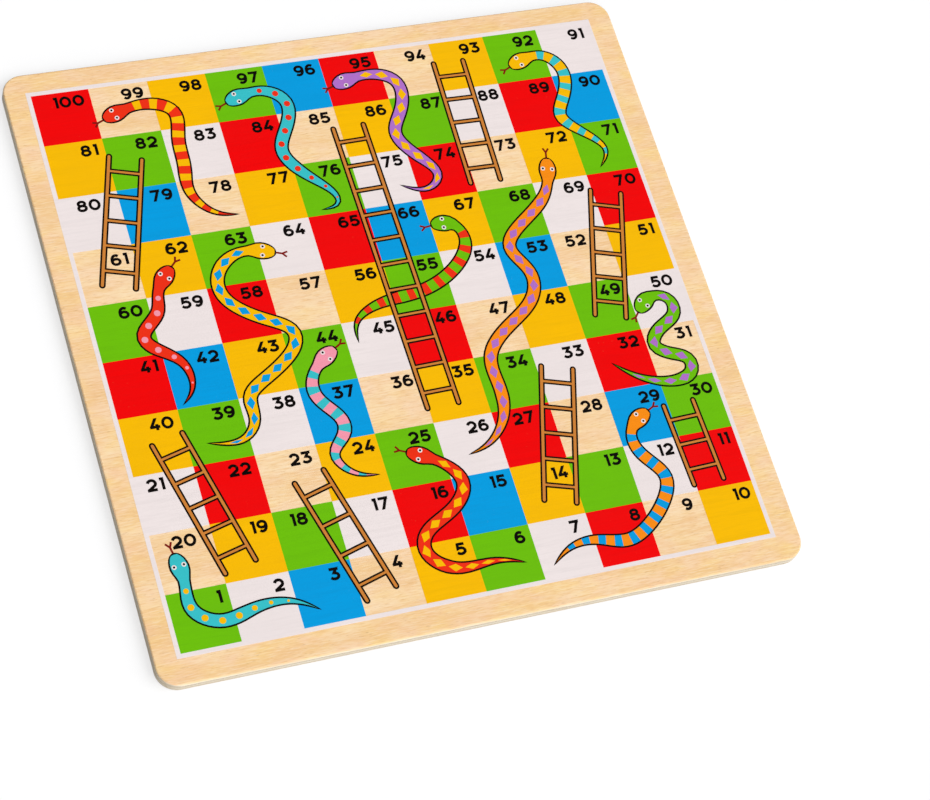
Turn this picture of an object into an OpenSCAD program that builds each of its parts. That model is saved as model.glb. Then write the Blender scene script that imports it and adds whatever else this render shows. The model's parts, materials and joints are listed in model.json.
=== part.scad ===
/* [Playing field] */
// Side of a playing square
square_w = 27; // [22:0.5:40]
// Side of a square in the outermost rows and columns, measured outwards
edge_square_w = 26; // [22:0.5:40]
// White border printed round the squares
border_w = 2; // [0.5:0.1:5]
// Bare wood from the white border to the board's edge, on average
margin_w = 10.5; // [4:0.5:40]
// How far the middle of the print lies above the middle of the board
print_up = 0.8; // [-1:0.1:1]
// How far the middle of the print lies left of the middle of the board
print_left = 0.8; // [-1:0.1:1]

/* [Plywood] */
// Thickness of the printed face ply
front_ply_t = 1.2; // [1:0.1:3]
// Thickness of each of the two crossband plies
crossband_t = 1.2; // [0.6:0.1:3]
// Thickness of the middle ply
core_ply_t = 1.2; // [0.6:0.1:4]
// Thickness of the ply that lies on the table
back_ply_t = 1.2; // [1:0.1:3]
// Radius of the board's four corners, seen from above
corner_r = 9.5; // [4:0.5:20]
// Radius of the sanded edge round the front and the back
arris_r = 0.9; // [0.2:0.05:1]

/* [Print] */
// Thickness of one coat of ink
ink_t = 0.05; // [0.02:0.01:0.2]
// Width of the dark line round each snake and ladder
line_w = 0.8; // [0.3:0.05:1.2]

/* [Numbers] */
// Height of a numeral
digit_h = 5.8; // [4.8:0.1:8]
// Width of every numeral but the zero and the one
digit_w = 4.7; // [4:0.1:5]
// Width of the numeral zero
zero_w = 5.3; // [3.2:0.1:5.6]
// Width of the numeral one
one_w = 2.5; // [1.6:0.1:3]
// Stroke of the numerals
stroke_w = 1.3; // [0.6:0.05:1.4]
// Space between two numerals
digit_gap = 0.6; // [0.4:0.05:1.5]
// From a number to the right side of its square
number_side_gap = 3; // [1:0.1:5]
// From a number to the top of its square
number_top_gap = 2.2; // [1:0.1:5]

/* [Ladders] */
// Width of a ladder, between the centres of its rails
ladder_w = 14.5; // [10:0.5:18]
// Width of a rail, inside its dark line
rail_w = 1.3; // [0.8:0.1:2.4]
// Width of a rung, inside its dark line
rung_w = 1; // [0.8:0.1:2.4]
// Distance from rung to rung, before it is evened out over a ladder
rung_pitch = 13; // [9:0.5:20]
// How far the rails run past the first and the last rung
rail_end = 8; // [4:0.5:12]

/* [Snakes] */
// Width of a snake's body with its dark line
body_w = 6.8; // [4:0.1:8]
// Width of a snake's neck with its dark line
neck_w = 5.6; // [3.6:0.1:8]
// Width of a snake's head with its dark line
head_w = 8.8; // [6:0.1:12]
// Length of a snake's head
head_l = 14; // [10:0.5:20]
// Length over which the body narrows to the tip of the tail
tail_l = 36; // [20:1:60]
// Length of one band, diamond or spot and the plain stretch after it
mark_pitch = 7.4; // [5:0.1:12]
// Diameter of the white of an eye
eye_d = 2.1; // [1:0.1:3]
// Diameter of a pupil
pupil_d = 1; // [0.4:0.1:1.6]
// Length of the tongue, with its fork
tongue_l = 4.8; // [2:0.2:8]
// Width of the tongue
tongue_w = 0.9; // [0.4:0.05:1]

/* [Hidden] */
squares_per_side = 10;

// Steps of the curves: the round corners and edges, a route between two of its points, the
// numerals' bowls and rings, the rails' ends, a band's sides and the round spots
edge_steps = 48;
path_steps = 14;
bowl_steps = 8;
ring_steps = 16;
bar_steps = 8;
band_steps = 3;
spot_steps = 32;
// Distance between the points of a snake's outline
station_l = 2;

// Shares of a mark's pitch that a band and a diamond take, and of the body's inner width
// that a diamond and a spot take
band_share = 0.46;
diamond_share = 0.84;
diamond_width_share = 0.74;
spot_share = 0.56;
// Share of the head's length in front of its widest place
nose_share = 0.5;
// How full the tail stays on its way to the tip: one is a straight taper, less is fuller
tail_fullness = 0.7;
// The body's colour ends where the tail's half width is this share of the dark line's width
tail_end_share = 1.2;
// Share of the tapered tail that has no marks
plain_tail_share = 0.22;
// Places of the eyes, as shares of the head's length and width
eye_share = 0.44;
eye_side_share = 0.25;
// The tongue's stem, its root inside the head and its fork's spread, as shares of its length
tongue_stem_share = 0.55;
tongue_root_share = 0.3;
tongue_spread_share = 0.28;

// The field of squares, the white ground and the whole board, all square
field_w = square_w * (squares_per_side - 2) + 2 * edge_square_w;
ground_w = field_w + 2 * border_w;
board_w = ground_w + 2 * margin_w;
print_middle = [-print_left, print_up];

// Heights of the plies' undersides, counted up from the table, and of the printed face
back_crossband_z = back_ply_t;
core_z = back_crossband_z + crossband_t;
front_crossband_z = core_z + core_ply_t;
front_ply_z = front_crossband_z + crossband_t;
face_z = front_ply_z + front_ply_t;

// Colours of the squares in the order in which they take turns
YELLOW = 0;
GREEN = 1;
WHITE = 2;
RED = 3;
WOOD = 4;
BLUE = 5;
square_inks = ["gold", "limegreen", "whitesmoke", "red", "burlywood", "dodgerblue"];
// Squares that are blue in place of their turn
blue_numbers = [3, 15, 29, 37, 42, 53, 66, 79, 90, 96];

// Numbers out of the usual place, most to make room for a ladder or a snake: the number,
// then its move in squares
moved_number_shares = [
    [3, -0.10, 0], [4, -0.07, 0], [7, -0.05, 0], [9, -0.06, 0], [10, 0.02, 0],
    [12, -0.05, 0], [14, 0.05, -0.05], [18, -0.35, 0], [20, -0.15, 0], [21, -0.40, 0],
    [24, 0.05, 0], [27, -0.20, 0], [29, 0.03, -0.02], [30, 0.02, -0.055], [35, 0.05, 0],
    [45, -0.03, 0], [46, 0.05, 0], [52, -0.30, 0], [54, 0.05, 0], [55, 0.03, 0],
    [56, -0.05, 0], [61, 0, -0.05], [65, -0.05, 0], [73, 0.05, 0], [74, -0.05, 0],
    [76, -0.10, 0], [80, -0.20, 0], [88, 0.05, 0]
];

// Ladders: the foot, then the top, counted in squares from the field's lower left corner
ladder_shares = [
    [[3.35, 0.30], [2.75, 2.50]],
    [[9.25, 1.10], [9.20, 2.60]],
    [[6.65, 1.25], [7.35, 3.60]],
    [[1.30, 1.20], [0.70, 3.55]],
    [[5.25, 3.25], [5.15, 8.60]],
    [[8.55, 4.30], [9.25, 6.65]],
    [[0.60, 6.25], [1.30, 8.60]],
    [[7.20, 7.15], [7.25, 9.60]]
];

// Snakes: the route of each from its nose to its tail, counted like the ladders
snake_route_shares = [
    [[1.10, 9.35], [1.80, 9.65], [2.45, 9.40], [2.20, 8.80], [2.25, 8.30], [2.10, 7.80],
        [2.45, 7.30], [2.90, 7.25]],
    [[3.20, 9.35], [3.85, 9.62], [4.35, 9.25], [4.10, 8.70], [3.80, 8.30], [4.15, 7.80],
        [4.60, 7.42], [4.62, 7.12], [4.25, 7.10]],
    [[5.10, 9.40], [5.75, 9.62], [6.35, 9.40], [6.20, 8.75], [5.80, 8.35], [6.15, 7.85],
        [6.55, 7.45], [6.15, 7.10], [5.70, 7.35]],
    [[8.30, 9.30], [8.95, 9.60], [9.35, 9.10], [9.10, 8.55], [8.80, 8.20], [9.20, 7.85],
        [9.65, 7.45], [9.30, 7.10]],
    [[8.40, 7.45], [8.25, 6.75], [7.65, 6.35], [7.05, 5.90], [7.55, 5.40], [7.35, 4.80],
        [6.70, 4.45], [6.20, 4.00], [6.30, 3.45], [6.25, 2.90], [5.85, 2.45], [5.40, 2.35]],
    [[6.00, 6.50], [6.45, 6.55], [6.60, 6.05], [6.10, 5.55], [5.45, 5.30], [4.80, 5.30],
        [4.20, 5.05], [4.20, 4.60]],
    [[3.30, 6.45], [2.70, 6.65], [2.20, 6.30], [2.15, 5.75], [2.75, 5.30], [3.25, 5.10],
        [3.20, 4.70], [2.60, 4.30], [2.10, 4.05], [2.25, 3.60], [1.90, 3.20], [1.30, 3.35]],
    [[1.55, 6.50], [1.15, 6.10], [1.20, 5.70], [0.70, 5.40], [0.85, 5.10], [1.35, 4.85],
        [1.40, 4.30], [1.10, 4.05]],
    [[9.05, 4.30], [9.35, 4.62], [9.75, 4.52], [9.75, 4.12], [9.30, 3.98], [9.05, 3.66],
        [9.38, 3.46], [9.72, 3.38], [9.68, 3.02], [9.20, 2.94], [8.65, 3.14], [8.28, 3.50]],
    [[3.80, 4.60], [3.30, 4.30], [3.15, 3.80], [3.60, 3.40], [3.55, 3.05], [3.15, 2.80],
        [3.45, 2.35], [3.90, 2.30]],
    [[8.65, 2.55], [8.15, 2.30], [8.20, 1.80], [8.65, 1.40], [8.40, 0.95], [8.05, 0.60],
        [7.55, 0.30], [7.05, 0.55], [6.55, 0.50], [6.20, 0.20]],
    [[4.40, 2.60], [4.95, 2.35], [5.30, 1.90], [4.90, 1.45], [4.30, 1.25], [4.15, 0.80],
        [4.65, 0.40], [5.30, 0.55], [5.80, 0.35]],
    [[0.30, 1.65], [0.40, 1.15], [0.25, 0.65], [0.80, 0.30], [1.35, 0.55], [1.95, 0.55],
        [2.35, 0.25]]
];

// The colours of each snake's body and of its marks, and the kind of mark
BANDS = 0;
DIAMONDS = 1;
SPOTS = 2;
snake_looks = [
    ["orangered", "gold", BANDS],
    ["mediumturquoise", "orangered", SPOTS],
    ["mediumorchid", "gold", DIAMONDS],
    ["gold", "mediumturquoise", BANDS],
    ["orange", "mediumorchid", DIAMONDS],
    ["yellowgreen", "orangered", BANDS],
    ["gold", "dodgerblue", DIAMONDS],
    ["orangered", "pink", SPOTS],
    ["yellowgreen", "mediumorchid", DIAMONDS],
    ["pink", "mediumturquoise", BANDS],
    ["orange", "dodgerblue", BANDS],
    ["orangered", "gold", DIAMONDS],
    ["mediumturquoise", "gold", SPOTS]
];

ladder_count = len(ladder_shares);
snake_count = len(snake_route_shares);

// Places on the field

// Distance from the field's centre line to a place counted in squares from its edge, and a
// place on the board
function along(share) =
    edge_square_w * min(share, 1)
    + square_w * (max(1, min(share, squares_per_side - 1)) - 1)
    + edge_square_w * max(0, share - squares_per_side + 1)
    - field_w / 2;
function place(shares) = [along(shares[0]), along(shares[1])] + print_middle;

// The number on a square: the count runs to and fro, upwards from the lower left
function number_at(col, row) =
    squares_per_side * row + (row % 2 == 0 ? col + 1 : squares_per_side - col);
// The colour of a square, as a place in square_inks
function ink_at(col, row) =
    len(search(number_at(col, row), blue_numbers)) > 0 ? BLUE : (1 + 3 * row + col) % BLUE;

// Curves

function length_of(v) = norm(v);
function unit(v) = v / norm(v);
function left_of(v) = [-v[1], v[0]];
function arc(centre, rx, ry, from, to, steps) =
    [for (k = [0 : steps]) let (a = from + (to - from) * k / steps)
        centre + [rx * cos(a), ry * sin(a)]];

// A cubic B-spline that starts at the first point and ends at the last
function spline_at(p, i, t) =
    (p[i] * pow(1 - t, 3)
    + p[i + 1] * (3 * pow(t, 3) - 6 * pow(t, 2) + 4)
    + p[i + 2] * (3 * t - 3 * pow(t, 3) + 3 * pow(t, 2) + 1)
    + p[i + 3] * pow(t, 3)) / 6;
function spline(points) =
    let (
        first = points[0],
        last = points[len(points) - 1],
        p = concat([first, first], points, [last, last]),
        spans = len(p) - 3
    )
    [for (i = [0 : spans - 1], k = [0 : path_steps - 1]) spline_at(p, i, k / path_steps), last];

// The running length of a path, and the path as tables that give x and y at a length
function running(path) =
    [for (i = 0, s = 0; i < len(path);
        i = i + 1, s = s + (i < len(path) ? length_of(path[i] - path[i - 1]) : 0)) s];
function tables(path) =
    let (s = running(path))
    [
        [for (i = [0 : len(path) - 1]) [s[i], path[i][0]]],
        [for (i = [0 : len(path) - 1]) [s[i], path[i][1]]],
        s[len(path) - 1]
    ];
function on_path(t, s) = [lookup(s, t[0]), lookup(s, t[1])];
function heading(t, s) =
    unit(on_path(t, min(s + station_l, t[2])) - on_path(t, max(s - station_l, 0)));
function beside(t, s, d) = on_path(t, s) + left_of(heading(t, s)) * d;

// A strip along points, w wide, with square ends and mitred bends
function bend_side(points, i, d) =
    let (
        before = unit(points[i] - points[max(i - 1, 0)] + (i == 0 ? points[1] - points[0] : [0, 0])),
        after = i == len(points) - 1 ? before : unit(points[i + 1] - points[i]),
        middle = unit(before + after)
    )
    points[i] + left_of(middle) * d / (middle * before);
function strip(points, w) =
    concat(
        [for (i = [0 : len(points) - 1]) bend_side(points, i, w / 2)],
        [for (i = [len(points) - 1 : -1 : 0]) bend_side(points, i, -w / 2)]
    );

// Shape of a snake

nose_l = head_l * nose_share;
head_back_l = head_l - nose_l;

// Half the width of a snake at a length from its nose
function girth(s, total) =
    s < nose_l ? head_w / 2 * sqrt(1 - pow(1 - s / nose_l, 2)) :
    s < head_l ? neck_w / 2 + (head_w - neck_w) / 4 * (1 + cos(180 * (s - nose_l) / head_back_l)) :
    min(
        neck_w / 2 + (body_w - neck_w) / 4 * (1 - cos(180 * min(1, (s - head_l) / head_l))),
        body_w / 2 * pow(max(0, total - s) / tail_l, tail_fullness)
    );
// Lengths at which an outline has its points, closer together round the nose
function stations(total) =
    let (n = round((total - nose_l) / station_l))
    concat(
        [for (a = [15 : 15 : 75]) nose_l * (1 - cos(a))],
        [for (k = [0 : n - 1]) nose_l + (total - nose_l) * k / n]
    );
// A snake's outline, drawn in by a margin
function snake_outline(t, inset) =
    let (
        total = t[2],
        s = [for (v = stations(total)) if (v > inset && girth(v, total) > inset * tail_end_share) v],
        last = s[len(s) - 1]
    )
    concat(
        [on_path(t, inset)],
        [for (v = s) beside(t, v, girth(v, total) - inset)],
        [on_path(t, inset > 0 ? min(last + 2 * station_l, total) : total)],
        [for (k = [len(s) - 1 : -1 : 0]) beside(t, s[k], inset - girth(s[k], total))]
    );

snake_tables = [for (route = snake_route_shares) tables(spline([for (p = route) place(p)]))];

// Shapes

// Half of a ply's cross-section at the board's edge, with its upper or lower corner rounded
module rim_profile(t, top_r, bottom_r) {
    r = max(top_r, bottom_r);
    intersection() {
        square([corner_r, t]);
        union() {
            square([corner_r - r, t]);
            translate([0, bottom_r]) square([corner_r, t - r]);
            translate([corner_r - r, top_r > 0 ? t - r : r]) circle(r, $fn = edge_steps);
        }
    }
}

// One ply of the board, with round corners and a sanded edge above or below
module ply(z, t, top_r = 0, bottom_r = 0) {
    inner_w = board_w - 2 * corner_r;
    translate([-inner_w / 2, -inner_w / 2, z]) cube([inner_w, inner_w, t]);
    for (quarter = [0 : 3]) rotate(90 * quarter) translate([inner_w / 2, inner_w / 2, z]) {
        rotate_extrude(angle = 90, $fn = edge_steps) rim_profile(t, top_r, bottom_r);
        rotate([90, 0, 0]) linear_extrude(inner_w) rim_profile(t, top_r, bottom_r);
    }
}

// A coat of ink on the face, or on top of the coats below it
module coat(coats_below = 0) {
    translate([0, 0, face_z + coats_below * ink_t]) linear_extrude(ink_t) children();
}

module square_at(col, row) {
    low = place([col, row]);
    translate(low) square(place([col + 1, row + 1]) - low);
}
module squares_of(ink) {
    for (row = [0 : squares_per_side - 1], col = [0 : squares_per_side - 1])
        if (ink_at(col, row) == ink) square_at(col, row);
}

// Numerals. Each has rings, curved or straight lines, and slanted legs with level ends. The
// rings and lines are in shares of the space between the strokes' centres, and the legs in
// shares of the whole width and height.

function bowl(x, y, rx, ry, from, to) = arc([x, y], rx, ry, from, to, bowl_steps);
six_ring_shares = [0.5, 0.3, 0.5, 0.3];
six_line_shares = concat([[0, 0.3]], bowl(0.54, 0.47, 0.54, 0.53, 180, 52));
numeral_shares = [
    [[[0.5, 0.5, 0.5, 0.5]], [], []],
    [[], [[[0, 1], [1, 1], [1, -0.11]]], []],
    [[], [concat(bowl(0.5, 0.66, 0.5, 0.34, 165, -38), [[0.02, 0.02]]), [[-0.14, 0], [1.1, 0]]], []],
    [[], [[[-0.08, 1], [1.08, 1]], bowl(0.46, 0.3, 0.54, 0.3, 96, -155)], [[[0.82, 1], [0.4, 0.49]]]],
    [[], [[[-0.14, 0.24], [1.14, 0.24]], [[0.76, 0.52], [0.76, -0.11]]], [[[0.68, 1], [0.15, 0.287]]]],
    [[], [[[1.05, 1], [0.04, 1]], concat([[0.18, 1.05], [0.12, 0.56]],
        bowl(0.46, 0.31, 0.54, 0.31, 108, -155))], []],
    [[six_ring_shares], [six_line_shares], []],
    [[], [[[-0.12, 1], [1.14, 1]]], [[[0.87, 1], [0.34, 0]]]],
    [[[0.5, 0.765, 0.43, 0.235], [0.5, 0.275, 0.5, 0.275]], [], []],
    [[[1 - six_ring_shares[0], 1 - six_ring_shares[1], six_ring_shares[2], six_ring_shares[3]]],
        [[for (p = six_line_shares) [1, 1] - p]], []]
];
function numeral_w(d) = d == 0 ? zero_w : d == 1 ? one_w : digit_w;

function ring_points(middle, rx, ry) =
    arc(middle, rx, ry, 0, 360 * (1 - 1 / ring_steps), ring_steps - 1);

module numeral(d) {
    full = [numeral_w(d), digit_h];
    size = full - [stroke_w, stroke_w];
    translate([stroke_w / 2, stroke_w / 2]) {
        for (r = numeral_shares[d][0]) {
            middle = [r[0] * size[0], r[1] * size[1]];
            polygon(
                concat(
                    ring_points(middle, r[2] * size[0] + stroke_w / 2, r[3] * size[1] + stroke_w / 2),
                    ring_points(middle, r[2] * size[0] - stroke_w / 2, r[3] * size[1] - stroke_w / 2)
                ),
                [[for (k = [0 : ring_steps - 1]) k], [for (k = [0 : ring_steps - 1]) ring_steps + k]]
            );
        }
        for (line = numeral_shares[d][1])
            polygon(strip([for (p = line) [p[0] * size[0], p[1] * size[1]]], stroke_w));
    }
    for (leg = numeral_shares[d][2]) {
        ends = [for (p = leg) [p[0] * full[0], p[1] * full[1]]];
        half = [stroke_w / 2 * length_of(ends[1] - ends[0]) / (ends[0][1] - ends[1][1]), 0];
        polygon([ends[0] - half, ends[0] + half, ends[1] + half, ends[1] - half]);
    }
}

function digits_of(n) = n < 10 ? [n] : concat(digits_of(floor(n / 10)), [n % 10]);
// Where each numeral of a number starts, measured from the number's right end
function numeral_starts(digits) =
    [for (i = [0 : len(digits) - 1])
        -(digits_width(digits, i) + (len(digits) - 1 - i) * digit_gap)];
function digits_width(digits, from) =
    from < len(digits) ? numeral_w(digits[from]) + digits_width(digits, from + 1) : 0;

module number_on(col, row) {
    n = number_at(col, row);
    digits = digits_of(n);
    starts = numeral_starts(digits);
    moved = [for (m = moved_number_shares) if (m[0] == n) [m[1], m[2]] * square_w];
    corner = place([col + 1, row + 1]) - [number_side_gap, number_top_gap + digit_h];
    translate(corner + (len(moved) > 0 ? moved[0] : [0, 0]))
        for (i = [0 : len(digits) - 1]) translate([starts[i], 0]) numeral(digits[i]);
}

// Ladders

function foot(i) = place(ladder_shares[i][0]);
function top(i) = place(ladder_shares[i][1]);
function ladder_l(i) = length_of(top(i) - foot(i));
function ladder_turn(i) = atan2(top(i)[1] - foot(i)[1], top(i)[0] - foot(i)[0]);

// A bar along +X, l long and w wide, with round ends
module round_bar(l, w, start) {
    polygon(concat(
        arc([start + l - w / 2, 0], w / 2, w / 2, -90, 90, bar_steps),
        arc([start + w / 2, 0], w / 2, w / 2, 90, 270, bar_steps)
    ));
}

// A ladder lying along +X from its foot, with or without the dark line round it
module ladder_shape(i, line) {
    rail = rail_w + 2 * line;
    rung = rung_w + 2 * line;
    between = ladder_l(i) - 2 * rail_end;
    gaps = max(1, round(between / rung_pitch));
    for (side = [-1, 1]) translate([0, side * ladder_w / 2])
        round_bar(ladder_l(i) + 2 * line, rail, -line);
    for (k = [0 : gaps])
        translate([rail_end + between * k / gaps - rung / 2, -ladder_w / 2])
            square([rung, ladder_w]);
}
module at_foot(i) {
    translate(foot(i)) rotate(ladder_turn(i)) children();
}

// Snakes

module tongue(t) {
    nose = on_path(t, 0);
    out = -heading(t, 0);
    split = nose + out * tongue_l * tongue_stem_share;
    for (turn = [-1, 1])
        polygon(strip([
            nose - out * tongue_l * tongue_root_share, split,
            nose + out * tongue_l + left_of(out) * turn * tongue_l * tongue_spread_share
        ], tongue_w));
}

// One mark on a snake, centred at a length from its nose
module band(t, s) {
    reach = mark_pitch * band_share / 2;
    at = [for (k = [0 : band_steps]) s - reach + 2 * reach * k / band_steps];
    polygon(concat(
        [for (v = at) beside(t, v, girth(v, t[2]) - line_w)],
        [for (k = [band_steps : -1 : 0]) beside(t, at[k], line_w - girth(at[k], t[2]))]
    ));
}
module diamond(t, s) {
    reach = mark_pitch * diamond_share / 2;
    side = (girth(s, t[2]) - line_w) * diamond_width_share;
    polygon([on_path(t, s - reach), beside(t, s, side), on_path(t, s + reach), beside(t, s, -side)]);
}
module spot(t, s) {
    translate(on_path(t, s)) circle((girth(s, t[2]) - line_w) * spot_share, $fn = spot_steps);
}
module snake_marks(i) {
    t = snake_tables[i];
    first = head_l + mark_pitch / 2;
    n = floor((t[2] - tail_l * plain_tail_share - first) / mark_pitch);
    for (k = [0 : n]) {
        s = first + k * mark_pitch;
        if (snake_looks[i][2] == BANDS) band(t, s);
        if (snake_looks[i][2] == DIAMONDS) diamond(t, s);
        if (snake_looks[i][2] == SPOTS) spot(t, s);
    }
}
module eyes(i, d) {
    t = snake_tables[i];
    for (side = [-1, 1])
        translate(beside(t, head_l * eye_share, side * head_w * eye_side_share))
            circle(d / 2, $fn = spot_steps);
}

// Everything that the dark line encloses, which the squares leave free

module snake_silhouettes() {
    for (t = snake_tables) polygon(snake_outline(t, 0));
}
module ladder_silhouettes() {
    for (i = [0 : ladder_count - 1]) at_foot(i) ladder_shape(i, line_w);
}
module tongues() {
    for (t = snake_tables) tongue(t);
}
module silhouettes() {
    snake_silhouettes();
    ladder_silhouettes();
    tongues();
}

// Pieces

module back_ply() {
    color("burlywood") ply(0, back_ply_t, bottom_r = arris_r);
}
module back_crossband() {
    color("tan") ply(back_crossband_z, crossband_t);
}
module core_ply() {
    color("burlywood") ply(core_z, core_ply_t);
}
module front_crossband() {
    color("tan") ply(front_crossband_z, crossband_t);
}
module front_ply() {
    color("wheat") ply(front_ply_z, front_ply_t, top_r = arris_r);
}
module white_ground() {
    color("whitesmoke") coat() difference() {
        union() {
            translate(print_middle) difference() {
                square(ground_w, center = true);
                square(field_w, center = true);
            }
            squares_of(WHITE);
        }
        silhouettes();
    }
}
module ink_squares(ink) {
    color(square_inks[ink]) coat() difference() {
        squares_of(ink);
        silhouettes();
    }
}
// On bare wood a number lies on the face, and elsewhere on its square's ink. Ladders and
// snakes are drawn over the numbers.
module numbers() {
    color("black") for (on_wood = [true, false]) coat(on_wood ? 0 : 1) difference() {
        for (row = [0 : squares_per_side - 1], col = [0 : squares_per_side - 1])
            if ((ink_at(col, row) == WOOD) == on_wood) number_on(col, row);
        silhouettes();
    }
}
module snake_outlines() {
    color("black") coat() difference() {
        snake_silhouettes();
        ladder_silhouettes();
    }
}
module ladder_outlines() {
    color("black") for (i = [0 : ladder_count - 1]) at_foot(i) coat() ladder_shape(i, line_w);
}
module snake_tongues() {
    color("firebrick") coat() difference() {
        tongues();
        snake_silhouettes();
    }
}
module ladder(i) {
    color("peru") at_foot(i) coat(1) ladder_shape(i, 0);
}
module snake_body(i) {
    color(snake_looks[i][0]) coat(1) difference() {
        polygon(snake_outline(snake_tables[i], line_w));
        ladder_silhouettes();
    }
}
module snake_pattern(i) {
    color(snake_looks[i][1]) coat(2) difference() {
        snake_marks(i);
        ladder_silhouettes();
    }
}
module snake_eyes() {
    color("white") coat(2) for (i = [0 : snake_count - 1]) eyes(i, eye_d);
}
module snake_pupils() {
    color("black") coat(3) for (i = [0 : snake_count - 1]) eyes(i, pupil_d);
}

// Names: a snake or ladder is called after the squares where it starts and ends
function square_under(shares) = number_at(floor(shares[0]), floor(shares[1]));
function ladder_name(i) =
    str("ladder_", square_under(ladder_shares[i][0]), "_to_", square_under(ladder_shares[i][1]));
function snake_name(i) =
    let (route = snake_route_shares[i])
    str("snake_", square_under(route[0]), "_to_", square_under(route[len(route) - 1]));

back_ply();
back_crossband();
core_ply();
front_crossband();
front_ply();
white_ground();
ink_squares(YELLOW);  // yellow_squares
ink_squares(GREEN);  // green_squares
ink_squares(RED);  // red_squares
ink_squares(BLUE);  // blue_squares
numbers();
snake_outlines();
ladder_outlines();
snake_tongues();
snake_eyes();
snake_pupils();
for (i = [0 : ladder_count - 1])
    ladder(i);
for (i = [0 : snake_count - 1])
    snake_body(i);
for (i = [0 : snake_count - 1])
    snake_pattern(i);
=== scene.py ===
import json

import bpy
from mathutils import Matrix, Vector


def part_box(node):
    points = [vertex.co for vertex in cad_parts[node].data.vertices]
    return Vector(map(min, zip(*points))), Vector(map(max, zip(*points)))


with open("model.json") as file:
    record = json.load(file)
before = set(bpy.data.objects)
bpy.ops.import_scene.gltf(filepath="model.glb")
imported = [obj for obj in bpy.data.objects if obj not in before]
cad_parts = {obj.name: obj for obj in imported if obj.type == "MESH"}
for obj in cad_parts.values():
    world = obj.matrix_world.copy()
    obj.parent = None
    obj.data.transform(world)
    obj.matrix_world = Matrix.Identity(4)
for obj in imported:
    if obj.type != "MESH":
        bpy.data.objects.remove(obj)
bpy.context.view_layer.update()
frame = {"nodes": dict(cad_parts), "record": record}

NODES = frame["nodes"]
# The middle of the print's white ground and half its side
PRINT_MIDDLE = sum((Vector(corner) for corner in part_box("white_ground")), Vector()) / 2
PRINT_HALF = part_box("white_ground")[1][0] - PRINT_MIDDLE.x


# Colours as they are seen, from 0 to 255
VENEER = (248, 212, 145)
VENEER_PINK = (247, 207, 168)
VENEER_PALE = (250, 225, 190)
VENEER_RING = (236, 190, 132)
VENEER_FLECK = (196, 146, 96)
EDGE_LONG = (250, 241, 222)
EDGE_LONG_DARK = (236, 220, 194)
EDGE_END = (240, 226, 202)
EDGE_END_DARK = (212, 192, 162)
GLUE = (172, 152, 128)
INKS = {
    "white_ink": (238, 227, 226),
    "yellow_ink": (248, 187, 0),
    "green_ink": (108, 190, 8),
    "red_ink": (241, 2, 4),
    "blue_ink": (2, 156, 223),
    "dark_ink": (8, 3, 2),
    "ladder_ink": (207, 130, 55),
    "tongue_ink": (128, 20, 12),
    "scarlet_ink": (238, 48, 20),
    "turquoise_ink": (56, 192, 200),
    "purple_ink": (176, 112, 200),
    "orange_ink": (250, 142, 18),
    "pink_ink": (244, 152, 172),
}

# The floor's own grey and white light, as linear colours
FLOOR_GREY = (0.36, 0.36, 0.365, 1)
WHITE = (1, 1, 1, 1)

# Sizes of the grain's features in metres, along the grain and across it
FIGURE = (0.11, 0.013)
RINGS = (0.042, 0.0024)
FIBRES = (0.006, 0.0006)
INK_FIBRES = (0.0075, 0.0006)
FLECKS = (0.0032, 0.00026)
CLOUDS = (0.022, 0.009)
TINT = (0.016, 0.009)
# Sizes of the features that follow no grain, in metres along X, Y and Z
SPECKLE = (0.0005, 0.0005, 0.0003)
INK_CLOUDS = (0.04, 0.04, 0.04)
INK_PEEL = (0.0006, 0.0006, 0.0006)
INK_MISSES = (0.0008, 0.00025, 0.0003)

# Width of the strip under the print's edge in which the wood turns paler, and the distances
# from a glue line's middle at which it begins to show and shows in full
PALE_EDGE_W = 0.002
GLUE_FADE = (0.00012, 0.00003)


def linear(rgb):
    """A colour from 0 to 255 as Blender's linear colour."""
    def channel(v):
        v /= 255
        return v / 12.92 if v <= 0.04045 else ((v + 0.055) / 1.055) ** 2.4
    return (*map(channel, rgb), 1)


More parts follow.
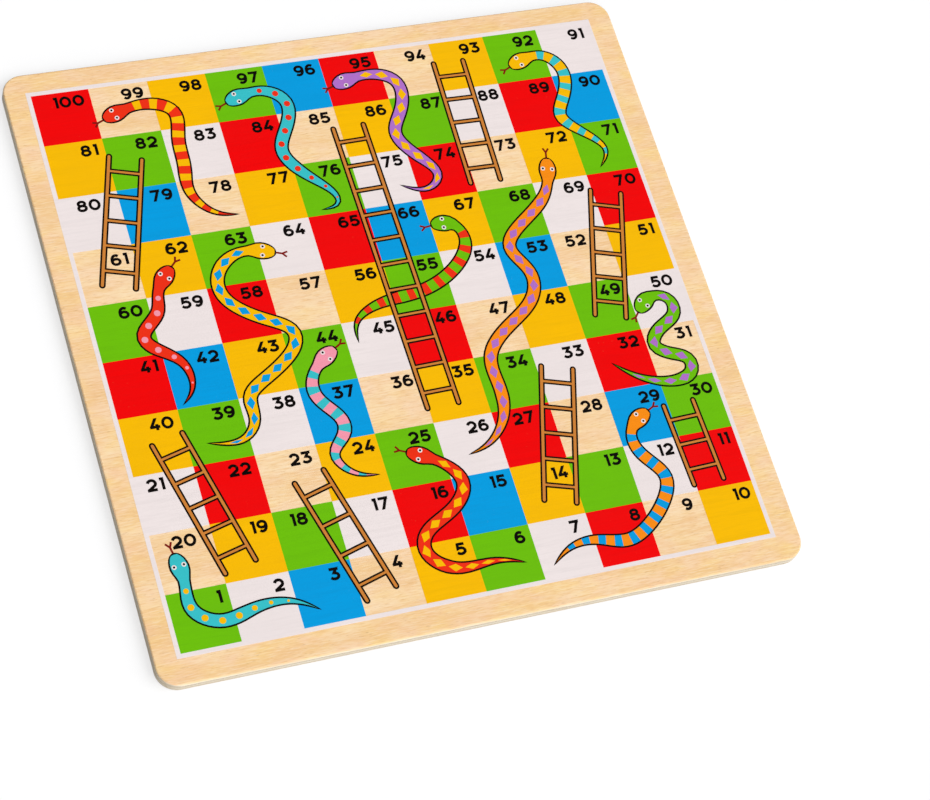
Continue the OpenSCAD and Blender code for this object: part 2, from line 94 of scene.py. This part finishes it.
class Tree:
    """A new material's shader tree, with short ways to add a node."""

    def __init__(self, name):
        self.material = bpy.data.materials.new(name)
        self.material.use_nodes = True
        self.nodes = self.material.node_tree.nodes
        self.links = self.material.node_tree.links
        self.shader = self.nodes["Principled BSDF"]
        self.place = self.add("ShaderNodeTexCoord").outputs["Object"]

    def add(self, kind, inputs=None, **settings):
        node = self.nodes.new(kind)
        for key, value in settings.items():
            setattr(node, key, value)
        for key, value in (inputs or {}).items():
            self.put(node.inputs[key], value)
        return node

    def put(self, socket, value):
        if isinstance(value, bpy.types.NodeSocket):
            self.links.new(value, socket)
        else:
            socket.default_value = value

    def math(self, operation, a, b=0.0, clamp=False):
        return self.add("ShaderNodeMath", {0: a, 1: b}, operation=operation,
                        use_clamp=clamp).outputs[0]

    def axis(self, vector, index):
        return self.add("ShaderNodeSeparateXYZ", {0: vector}).outputs[index]

    def noise(self, size, detail=2.0, roughness=0.5, seed=0.0, warp=0.0):
        """Noise from 0 to 1 whose patches are about size (x, y, z) metres."""
        scaled = self.add("ShaderNodeMapping", {
            "Vector": self.place,
            "Location": (seed, seed * 0.7, seed * 1.3),
            "Scale": tuple(1 / s for s in size),
        }).outputs[0]
        return self.add("ShaderNodeTexNoise", {
            "Vector": scaled, "Scale": 1.0, "Detail": detail,
            "Roughness": roughness, "Distortion": warp,
        }).outputs["Fac"]

    def ramp(self, value, low, high, out_low=0.0, out_high=1.0):
        """value, spread from low..high to out_low..out_high, with soft ends."""
        return self.add("ShaderNodeMapRange", {
            "Value": value, "From Min": low, "From Max": high,
            "To Min": out_low, "To Max": out_high,
        }, interpolation_type="SMOOTHSTEP").outputs[0]

    def mix(self, share, a, b):
        node = self.add("ShaderNodeMix", data_type="RGBA")
        for socket, value in zip((node.inputs[0], node.inputs[6], node.inputs[7]),
                                 (share, a, b)):
            self.put(socket, value)
        return node.outputs[2]

    def tinted(self, base, colour, value, low, high, share):
        """base, with up to a share of colour as value goes from low to high."""
        return self.mix(self.ramp(value, low, high, 0.0, share), base, colour)

    def bump(self, height, strength, distance, below=None):
        inputs = {"Height": height, "Strength": strength, "Distance": distance}
        if below is not None:
            inputs["Normal"] = below
        return self.add("ShaderNodeBump", inputs).outputs[0]

    def finish(self, **sockets):
        for key, value in sockets.items():
            self.put(self.shader.inputs[key.replace("_", " ")], value)
        return self.material


def grain_size(along_x, length, width):
    """The size of a grain feature that runs along X or along Y."""
    return (length, width, width) if along_x else (width, length, width)


def wood(name, along_x, glued, seed):
    """Sanded birch veneer. glued holds the heights of its glue lines.

    Inside the printed border the wood is a little paler.
    """
    t = Tree(name)
    figure = t.noise(grain_size(along_x, *FIGURE), seed=seed, warp=0.5)
    rings = t.noise(grain_size(along_x, *RINGS), roughness=0.55, seed=seed + 3, warp=0.3)
    fibres = t.noise(grain_size(along_x, *FIBRES), roughness=0.6, seed=seed + 5)
    flecks = t.noise(grain_size(along_x, *FLECKS), detail=1, seed=seed + 7)
    clouds = t.noise(grain_size(along_x, *CLOUDS), seed=seed + 11)
    tint = t.noise(grain_size(along_x, *TINT), seed=seed + 13)
    speckle = t.noise(SPECKLE, roughness=0.6, seed=seed + 17)

    face = t.mix(t.ramp(tint, 0.3, 0.7), linear(VENEER), linear(VENEER_PINK))
    face = t.tinted(face, linear(VENEER_PALE), clouds, 0.40, 0.75, 0.55)
    from_middle = t.add("ShaderNodeVectorMath", {0: t.place, 1: PRINT_MIDDLE},
                        operation="SUBTRACT").outputs[0]
    out = t.math("MAXIMUM", *(t.math("ABSOLUTE", t.axis(from_middle, i)) for i in (0, 1)))
    face = t.tinted(face, linear(VENEER_PALE), out, PRINT_HALF, PRINT_HALF - PALE_EDGE_W, 0.35)
    face = t.tinted(face, linear(VENEER_RING), figure, 0.40, 0.75, 0.5)
    face = t.tinted(face, linear(VENEER_RING), rings, 0.42, 0.75, 0.45)
    face = t.tinted(face, linear(VENEER_RING), fibres, 0.46, 0.74, 0.7)
    face = t.tinted(face, linear(VENEER_PALE), fibres, 0.52, 0.26, 0.6)
    face = t.tinted(face, linear(VENEER_FLECK), flecks, 0.64, 0.80, 0.6)

    # A side face shows long grain or end grain, as the ply lies to it
    normal = t.add("ShaderNodeNewGeometry").outputs["Normal"]
    ends = t.ramp(t.math("ABSOLUTE", t.axis(normal, 0 if along_x else 1)), 0.4, 0.8)
    long_grain = t.mix(t.ramp(rings, 0.4, 0.7), linear(EDGE_LONG), linear(EDGE_LONG_DARK))
    end_grain = t.mix(t.ramp(speckle, 0.4, 0.65), linear(EDGE_END), linear(EDGE_END_DARK))
    edge = t.mix(ends, long_grain, end_grain)
    level = t.ramp(t.math("ABSOLUTE", t.axis(normal, 2)), 0.15, 0.85)
    colour = t.mix(level, edge, face)

    height = t.axis(t.place, 2)
    for z in glued:
        from_line = t.math("ABSOLUTE", t.math("SUBTRACT", height, z))
        colour = t.tinted(colour, linear(GLUE), from_line, *GLUE_FADE, 0.4)

    rough = t.math("ADD", t.ramp(rings, 0.3, 0.8, 0.5, 0.62),
                   t.ramp(level, 0.0, 1.0, 0.22, 0.0), clamp=True)
    relief = t.bump(flecks, 0.4, 0.00005)
    relief = t.bump(fibres, 0.35, 0.00006, relief)
    relief = t.bump(speckle, t.ramp(level, 0.0, 1.0, 0.5, 0.0), 0.0001, relief)
    return t.finish(Base_Color=colour, Roughness=rough, Normal=relief,
                    Specular_IOR_Level=0.25)


def ink(name, rgb, seed):
    """Printed ink that lets the grain beneath show a little."""
    t = Tree(name)
    rings = t.noise(grain_size(True, *RINGS), roughness=0.55, seed=3, warp=0.3)
    fibres = t.noise(grain_size(True, *INK_FIBRES), roughness=0.6, seed=5)
    clouds = t.noise(INK_CLOUDS, seed=seed)
    peel = t.noise(INK_PEEL, detail=1, seed=seed + 5)
    misses = t.noise(INK_MISSES, detail=1, seed=seed + 9)

    base = linear(rgb)
    deep = (*(c * 0.86 for c in base[:3]), 1)
    pale = (*(c * 0.94 for c in base[:3]), 1)
    colour = t.tinted(base, deep, rings, 0.42, 0.75, 0.35)
    colour = t.tinted(colour, deep, fibres, 0.45, 0.75, 0.35)
    colour = t.tinted(colour, pale, clouds, 0.35, 0.7, 0.6)
    colour = t.tinted(colour, linear(VENEER), misses, 0.79, 0.86, 0.35)

    rough = t.math("ADD", t.ramp(clouds, 0.3, 0.8, 0.34, 0.42),
                   t.ramp(fibres, 0.4, 0.8, 0.0, 0.08))
    relief = t.bump(peel, 0.12, 0.00002)
    relief = t.bump(fibres, 0.22, 0.00005, relief)
    relief = t.bump(rings, 0.2, 0.00008, relief)
    return t.finish(Base_Color=colour, Roughness=rough, Normal=relief,
                    Specular_IOR_Level=0.1)


def floor_material():
    """White paper that stays white to the camera and keeps the shadow."""
    t = Tree("studio_floor")
    path = t.add("ShaderNodeLightPath")
    seen = t.math("MAXIMUM", path.outputs["Is Camera Ray"],
                  t.math("MAXIMUM", path.outputs["Is Glossy Ray"],
                         path.outputs["Is Transmission Ray"]))
    return t.finish(Base_Color=FLOOR_GREY, Roughness=0.9, Specular_IOR_Level=0.1,
                    Emission_Color=WHITE,
                    Emission_Strength=t.math("MULTIPLY", seen, 0.635))


def set_material(node, material):
    slots = NODES[node].material_slots
    if not slots:
        NODES[node].data.materials.append(material)
    for slot in slots:
        slot.link = "OBJECT"
        slot.material = material


# Materials on the pieces

PLIES = ["back_ply", "back_crossband", "core_ply", "front_crossband", "front_ply"]
for i, ply in enumerate(PLIES):
    low, high = (corner[2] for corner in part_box(ply))
    glued = [z for z, joined in ((low, i > 0), (high, i < len(PLIES) - 1)) if joined]
    set_material(ply, wood(ply, along_x=i % 2 == 0, glued=glued, seed=17.0 * i))

INK_MATERIALS = {name: ink(name, rgb, 5.0 * i) for i, (name, rgb) in enumerate(INKS.items())}
for part in frame["record"]["subparts"]:
    if part["material_slot"] in INK_MATERIALS:
        set_material(part["node"], INK_MATERIALS[part["material_slot"]])


# Floor, light and camera

FLOOR_HALF = 3.0
FLOOR_Z = -0.00005
floor_mesh = bpy.data.meshes.new("floor")
floor_mesh.from_pydata(
    [(x * FLOOR_HALF, y * FLOOR_HALF, FLOOR_Z) for x, y in ((-1, -1), (1, -1), (1, 1), (-1, 1))],
    [], [(0, 1, 2, 3)])
floor = bpy.data.objects.new("floor", floor_mesh)
floor.data.materials.append(floor_material())
bpy.context.scene.collection.objects.link(floor)


def soft_sun(name, direction, angle, strength):
    """A lamp as wide as angle, seen from the board in the given direction."""
    lamp = bpy.data.lights.new(name, "SUN")
    lamp.angle = angle
    lamp.energy = strength
    obj = bpy.data.objects.new(name, lamp)
    obj.rotation_euler = Vector(direction).to_track_quat("Z", "Y").to_euler()
    bpy.context.scene.collection.objects.link(obj)


# Soft lights far away, none where the print would mirror it into the camera
soft_sun("key", direction=(0.85, -0.45, 1.0), angle=0.9, strength=1.94)
soft_sun("fill", direction=(-0.1, -1.1, 1.0), angle=1.2, strength=1.84)
soft_sun("back", direction=(0.3, 1.0, 0.3), angle=0.6, strength=0.5)

world = bpy.data.worlds.new("studio")
world.use_nodes = True
background = world.node_tree.nodes["Background"]
background.inputs["Color"].default_value = WHITE
background.inputs["Strength"].default_value = 0.15
bpy.context.scene.world = world

# The camera's place and directions, found from the corners of the photographed squares and
# counted from the middle of the print
FACE_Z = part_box("front_ply")[1][2]
CAMERA_PLACE = Vector((PRINT_MIDDLE.x - 0.36749, PRINT_MIDDLE.y - 0.47775, FACE_Z + 1.03070))
CAMERA_RIGHT = Vector((0.93079, -0.28609, 0.22753))
CAMERA_UP = Vector((0.16637, 0.88580, 0.43321))
CAMERA_BACK = Vector((-0.32549, -0.36538, 0.87210))
camera_data = bpy.data.cameras.new("camera")
camera_data.sensor_width = 36
camera_data.lens = 104.84
camera = bpy.data.objects.new("camera", camera_data)
camera.matrix_world = Matrix.Translation(CAMERA_PLACE) @ Matrix(
    (CAMERA_RIGHT, CAMERA_UP, CAMERA_BACK)).transposed().to_4x4()
bpy.context.scene.collection.objects.link(camera)
bpy.context.scene.camera = camera
bpy.context.scene.view_settings.view_transform = "Standard"
